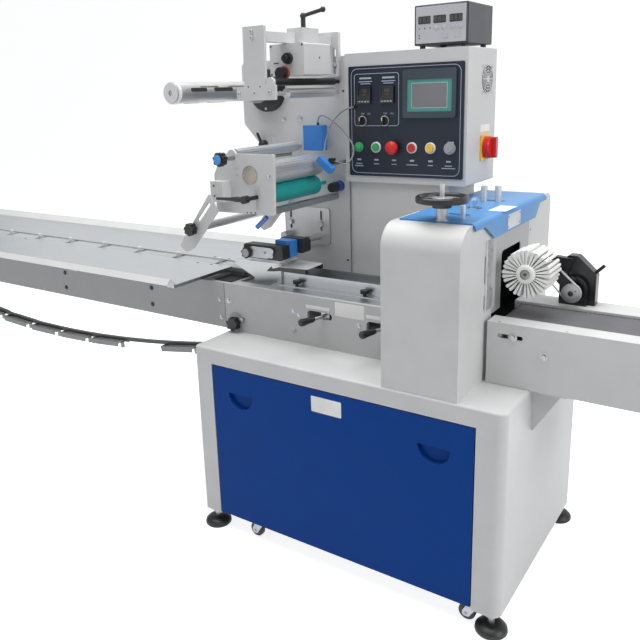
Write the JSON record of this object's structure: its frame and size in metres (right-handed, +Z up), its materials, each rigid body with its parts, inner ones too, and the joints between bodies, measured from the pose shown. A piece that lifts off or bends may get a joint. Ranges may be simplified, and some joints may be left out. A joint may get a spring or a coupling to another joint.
{
  "type": "horizontal flow wrapper",
  "caption": "Horizontal flow wrapping machine: chain infeed with open tray, film reel shaft and feed rollers over the table, rotary end sealer, take-off brush, belt outfeed and control box.",
  "frame": {"origin": "on the floor, under the middle of the whole machine's bounding box", "axes": "+X the way the products travel, from infeed to outfeed, +Y from the operator's side to the back, +Z up"},
  "size_m": [4.16, 0.733, 1.585],
  "materials": {
    "cabinet_paint": "light grey powder coat, satin, rubbed at the edges",
    "door_paint": "deep blue powder coat, semi-gloss",
    "hood_paint": "sky blue powder coat, semi-gloss",
    "panel_paint": "navy grey satin paint with pale outlines",
    "case_paint": "charcoal stove enamel on the instrument case",
    "frame_paint": "mid grey satin paint on sheet steel",
    "stainless": "brushed stainless sheet",
    "zinc_steel": "bright zinc-plated steel",
    "chain_steel": "oiled roller-chain steel",
    "jaw_steel": "machined steel",
    "anodised": "clear anodised aluminium plate",
    "roller_chrome": "ground and polished roller",
    "belt_rubber": "grey conveyor belting",
    "teal_rubber": "teal silicone sleeve",
    "cable_rubber": "black cable sheath",
    "black_plastic": "black moulded plastic",
    "gloss_black": "black instrument housing with a glossy window",
    "bristle_white": "white nylon paddles",
    "grey_plastic": "grey moulded plastic",
    "sensor_blue": "blue sensor housing",
    "green_plastic": "green button cap",
    "red_plastic": "red button cap",
    "yellow_plastic": "yellow button cap",
    "wheel_black": "black enamelled rim, bare machined hub",
    "caster_grey": "grey caster wheels in plated forks"
  },
  "bodies": {
    "machine": {"base_cabinet": "cabinet_paint", "base_door": "door_paint", "levelling_feet": "black_plastic", "casters": "caster_grey", "table_side_plates": "anodised", "table_deck": "stainless", "product_guides": "stainless", "film_former": "stainless", "infeed_side_plates": "frame_paint", "infeed_tray": "stainless", "infeed_cross_bars": "zinc_steel", "infeed_stand": "cabinet_paint", "chain_sprockets": "jaw_steel", "infeed_chain": "chain_steel", "outfeed_covers": "cabinet_paint", "belts": "belt_rubber", "outfeed_frame": "anodised", "sealer_covers": "cabinet_paint", "sealer_hood": "hood_paint", "window_plate": "stainless", "seal_jaws": "jaw_steel", "hood_fittings": "zinc_steel", "brush_housing": "black_plastic", "control_pedestal": "cabinet_paint", "control_box": "cabinet_paint", "control_panel": "panel_paint", "panel_instruments": "gloss_black", "box_side_fittings": "yellow_plastic", "instrument_box": "case_paint", "film_wall": "cabinet_paint", "film_side_plates": "cabinet_paint", "wall_fittings": "zinc_steel", "coder_box": "cabinet_paint", "star_knobs": "black_plastic", "fin_bracket": "anodised", "film_sensors": "sensor_blue", "panel_cable": "cable_rubber", "amplifier_cable": "cable_rubber"},
    "fin_lever_left_body": {"fin_lever_left": "black_plastic"},
    "fin_lever_right_body": {"fin_lever_right": "black_plastic"},
    "handwheel_body": {"handwheel": "wheel_black"},
    "brush_wheel_body": {"brush_wheel": "bristle_white"},
    "brush_pulley_body": {"brush_pulley": "grey_plastic"},
    "start_button_body": {"start_button": "green_plastic"},
    "stop_button_body": {"stop_button": "red_plastic"},
    "jog_button_body": {"jog_button": "yellow_plastic"},
    "emergency_stop_body": {"emergency_stop": "red_plastic"},
    "selector_left_body": {"selector_left": "black_plastic"},
    "selector_right_body": {"selector_right": "black_plastic"},
    "speed_knob_body": {"speed_knob": "grey_plastic"},
    "isolator_handle_body": {"isolator_handle": "red_plastic"},
    "reel_shaft_body": {"reel_shaft": "anodised"},
    "coder_clamp_body": {"coder_clamp": "black_plastic"},
    "guide_roller_body": {"guide_roller": "roller_chrome"},
    "coder_roller_body": {"coder_roller": "black_plastic"},
    "top_roller_body": {"top_roller": "roller_chrome"},
    "feed_roller_body": {"feed_roller": "roller_chrome"},
    "rubber_roller_body": {"rubber_roller": "teal_rubber"},
    "lower_roller_body": {"lower_roller": "roller_chrome"},
    "nip_lever_body": {"nip_lever": "black_plastic"}
  },
  "joints": [
    {"name": "handwheel_spin", "type": "hinge", "parent": "machine", "child": "handwheel_body", "pos_m": [1.286, -0.2405, 1.094], "axis": [0, 0, 1], "continuous": true},
    {"name": "pulley_spin", "type": "hinge", "parent": "machine", "child": "brush_pulley_body", "pos_m": [1.529, 0.0455, 0.819], "axis": [0, 1, 0], "continuous": true},
    {"name": "brush_spin", "type": "hinge", "parent": "machine", "child": "brush_wheel_body", "pos_m": [1.452, -0.0525, 0.894], "axis": [0, 1, 0], "continuous": true},
    {"name": "reel_spin", "type": "hinge", "parent": "machine", "child": "reel_shaft_body", "pos_m": [0.505, -0.0835, 1.362], "axis": [0, 1, 0], "continuous": true},
    {"name": "guide_roller_spin", "type": "hinge", "parent": "machine", "child": "guide_roller_body", "pos_m": [0.771, -0.0835, 1.351], "axis": [0, 1, 0], "continuous": true},
    {"name": "coder_roller_spin", "type": "hinge", "parent": "machine", "child": "coder_roller_body", "pos_m": [0.776, -0.0835, 1.382], "axis": [0, 1, 0], "continuous": true},
    {"name": "top_roller_spin", "type": "hinge", "parent": "machine", "child": "top_roller_body", "pos_m": [0.625, -0.0835, 1.184], "axis": [0, 1, 0], "continuous": true},
    {"name": "feed_roller_spin", "type": "hinge", "parent": "machine", "child": "feed_roller_body", "pos_m": [0.726, -0.0835, 1.132], "axis": [0, 1, 0], "continuous": true},
    {"name": "rubber_roller_spin", "type": "hinge", "parent": "machine", "child": "rubber_roller_body", "pos_m": [0.718, -0.0835, 1.068], "axis": [0, 1, 0], "continuous": true},
    {"name": "lower_roller_spin", "type": "hinge", "parent": "machine", "child": "lower_roller_body", "pos_m": [0.503, -0.0835, 0.966], "axis": [0, 1, 0], "continuous": true},
    {"name": "nip_lever_swing", "type": "hinge", "parent": "machine", "child": "nip_lever_body", "pos_m": [0.714, -0.2495, 1.066], "axis": [0, 1, 0], "range_deg": [-60, 60]},
    {"name": "fin_lever_left_slide", "type": "slide", "parent": "machine", "child": "fin_lever_left_body", "axis": [1, 0, 0], "range_m": [-0.0441, 0.0189]},
    {"name": "fin_lever_right_slide", "type": "slide", "parent": "machine", "child": "fin_lever_right_body", "axis": [1, 0, 0], "range_m": [-0.0441, 0.0189]},
    {"name": "start_press", "type": "slide", "parent": "machine", "child": "start_button_body", "axis": [0, 1, 0], "range_m": [0, 0.003], "stiffness_N_per_m": 500},
    {"name": "stop_press", "type": "slide", "parent": "machine", "child": "stop_button_body", "axis": [0, 1, 0], "range_m": [0, 0.003], "stiffness_N_per_m": 500},
    {"name": "jog_press", "type": "slide", "parent": "machine", "child": "jog_button_body", "axis": [0, 1, 0], "range_m": [0, 0.003], "stiffness_N_per_m": 500},
    {"name": "emergency_stop_press", "type": "slide", "parent": "machine", "child": "emergency_stop_body", "axis": [0, 1, 0], "range_m": [0, 0.004], "stiffness_N_per_m": 800},
    {"name": "selector_left_turn", "type": "hinge", "parent": "machine", "child": "selector_left_body", "pos_m": [0.876, 0.0965, 1.263], "axis": [0, 1, 0], "range_deg": [-45, 45]},
    {"name": "selector_right_turn", "type": "hinge", "parent": "machine", "child": "selector_right_body", "pos_m": [0.952, 0.0965, 1.263], "axis": [0, 1, 0], "range_deg": [-45, 45]},
    {"name": "speed_knob_turn", "type": "hinge", "parent": "machine", "child": "speed_knob_body", "pos_m": [1.16, 0.0965, 1.185], "axis": [0, 1, 0], "range_deg": [-135, 135]},
    {"name": "isolator_turn", "type": "hinge", "parent": "machine", "child": "isolator_handle_body", "pos_m": [1.213, 0.2325, 1.179], "axis": [1, 0, 0], "range_deg": [0, 90]},
    {"name": "coder_clamp_swing", "type": "hinge", "parent": "machine", "child": "coder_clamp_body", "pos_m": [0.7615, -0.0435, 1.536], "axis": [0, 0, 1], "range_deg": [-90, 90]}
  ],
  "couplings": [
    {"joint": "pulley_spin", "follows": "brush_spin", "ratio": 0.7531},
    {"joint": "rubber_roller_spin", "follows": "feed_roller_spin", "ratio": -1.1}
  ]
}
